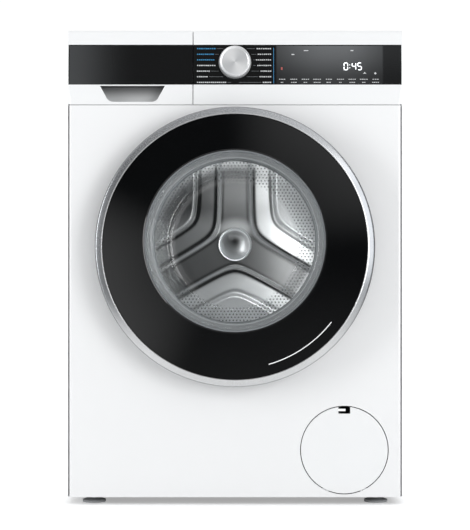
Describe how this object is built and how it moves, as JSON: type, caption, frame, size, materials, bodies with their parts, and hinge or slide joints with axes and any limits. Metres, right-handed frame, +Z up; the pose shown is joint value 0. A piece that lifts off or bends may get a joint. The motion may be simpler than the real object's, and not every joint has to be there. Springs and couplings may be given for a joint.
{
  "type": "front load washing machine",
  "caption": "Front load washer-dryer with a round glazed door, dark fascia strip, detergent drawer, rotary selector and full suspended drum",
  "frame": {"origin": "on the floor, under the middle of the bounding box", "axes": "X to the right seen from the front, Y to the back, Z up"},
  "size_m": [0.598, 0.632, 0.848],
  "materials": {
    "white_enamel": "smooth, semi-gloss white enamel",
    "worktop_laminate": "fine-grained white laminate",
    "zinc_steel": "dull zinc-plated sheet",
    "base_plastic": "dark moulded plastic",
    "foot_rubber": "dark moulded rubber",
    "white_plastic": "moulded white plastic",
    "panel_gloss": "polished black printed panel",
    "circuit_board": "green circuit board",
    "knob_aluminium": "brushed around its middle",
    "drawer_plastic": "pale grey moulded plastic",
    "siphon_plastic": "blue moulded plastic",
    "door_chrome": "satin silver plating on plastic",
    "door_gloss": "polished black glazing",
    "frame_plastic": "grey moulded plastic",
    "bowl_glass": "clear pressed glass",
    "cast_zinc": "plain die-cast zinc",
    "steel_bright": "bright ground steel",
    "gasket_rubber": "grey moulded rubber",
    "tub_plastic": "grey fibre-filled plastic",
    "belt_rubber": "black rubber",
    "heater_steel": "drawn steel tube",
    "concrete": "cast concrete",
    "spring_steel": "zinc-plated spring wire",
    "drum_steel": "satin stainless sheet",
    "paddle_plastic": "pale grey moulded plastic",
    "spider_aluminium": "plain die-cast aluminium",
    "motor_steel": "grey-painted steel laminations"
  },
  "bodies": {
    "cabinet": {"side_panel_left": "white_enamel", "side_panel_right": "white_enamel", "rear_panel": "zinc_steel", "rear_cover": "zinc_steel", "front_panel": "white_enamel", "base_tray": "base_plastic", "worktop": "worktop_laminate", "levelling_feet": "foot_rubber", "foot_lock_nuts": "zinc_steel", "cover_screws": "zinc_steel", "control_panel": "white_plastic", "panel_glass": "panel_gloss", "control_board": "circuit_board", "selector_encoder": "base_plastic", "dispenser_housing": "drawer_plastic", "hinge_bracket": "cast_zinc", "door_lock": "white_plastic", "door_gasket": "gasket_rubber", "gasket_clamp": "steel_bright", "damper_cylinders": "base_plastic", "suspension_springs": "spring_steel", "drain_pump": "white_plastic", "sump_hose": "belt_rubber", "fill_hose": "belt_rubber", "valve_hose": "belt_rubber", "drain_hose": "belt_rubber", "inlet_valve": "white_plastic", "mains_gland": "base_plastic"},
    "drawer": {"drawer_front": "white_plastic", "drawer_glass": "panel_gloss", "drawer_box": "drawer_plastic", "siphon_cap": "siphon_plastic"},
    "selector": {"selector_knob": "knob_aluminium"},
    "door": {"door_ring": "door_chrome", "door_glass_ring": "door_gloss", "door_frame": "frame_plastic", "door_bowl": "bowl_glass", "door_hinge": "cast_zinc", "hinge_pin": "steel_bright"},
    "hook": {"door_hook": "cast_zinc"},
    "tub": {"tub_front": "tub_plastic", "tub_rear": "tub_plastic", "drum_bearings": "steel_bright", "shaft_seal": "belt_rubber", "heater_element": "heater_steel", "counterweight_top": "concrete", "counterweight_front": "concrete", "damper_rods": "steel_bright", "motor_body": "motor_steel", "dryer_duct": "spider_aluminium", "drive_belt": "belt_rubber"},
    "drum": {"drum_shell": "drum_steel", "drum_back": "drum_steel", "drum_paddles": "paddle_plastic", "drum_spider": "spider_aluminium", "drum_pulley": "spider_aluminium"},
    "motor": {"motor_rotor": "steel_bright"},
    "fan": {"dryer_fan": "base_plastic"},
    "flap": {"service_flap": "white_plastic"},
    "filter": {"pump_filter": "base_plastic"}
  },
  "joints": [
    {"name": "door_swing", "type": "hinge", "parent": "cabinet", "child": "door", "pos_m": [-0.236, -0.294, 0.46], "axis": [0, 0, -1], "range_deg": [0, 120]},
    {"name": "hook_release", "type": "hinge", "parent": "door", "child": "hook", "pos_m": [0.2, -0.286, 0.46], "axis": [0, 0, 1], "range_deg": [0, 12], "stiffness_Nm_per_rad": 0.4},
    {"name": "drawer_slide", "type": "slide", "parent": "cabinet", "child": "drawer", "axis": [0, -1, 0], "range_m": [0, 0.19]},
    {"name": "selector_turn", "type": "hinge", "parent": "cabinet", "child": "selector", "pos_m": [0, -0.26873, 0.78942], "axis": [0, -0.9976, 0.0698], "continuous": true},
    {"name": "tub_bounce", "type": "slide", "parent": "cabinet", "child": "tub", "axis": [0, 0, 1], "range_m": [-0.008, 0.008], "stiffness_N_per_m": 9000, "springref_m": 0.0394, "deforming": ["suspension_springs", "door_gasket", "fill_hose", "sump_hose"]},
    {"name": "drum_spin", "type": "hinge", "parent": "tub", "child": "drum", "pos_m": [0, 0, 0.47], "axis": [0, 1, 0], "continuous": true},
    {"name": "motor_spin", "type": "hinge", "parent": "tub", "child": "motor", "pos_m": [0, 0.15, 0.112], "axis": [0, 1, 0], "continuous": true},
    {"name": "fan_spin", "type": "hinge", "parent": "tub", "child": "fan", "pos_m": [0.112, 0.076, 0.76], "axis": [0, 0, 1], "continuous": true},
    {"name": "flap_tilt", "type": "hinge", "parent": "cabinet", "child": "flap", "pos_m": [0.195, -0.2704, 0.028], "axis": [1, 0, 0], "range_deg": [0, 24]},
    {"name": "filter_turn", "type": "hinge", "parent": "cabinet", "child": "filter", "pos_m": [0.195, -0.25, 0.098], "axis": [0, -1, 0], "range_deg": [0, 270]}
  ],
  "couplings": [
    {"joint": "motor_spin", "follows": "drum_spin", "ratio": 12.727}
  ]
}
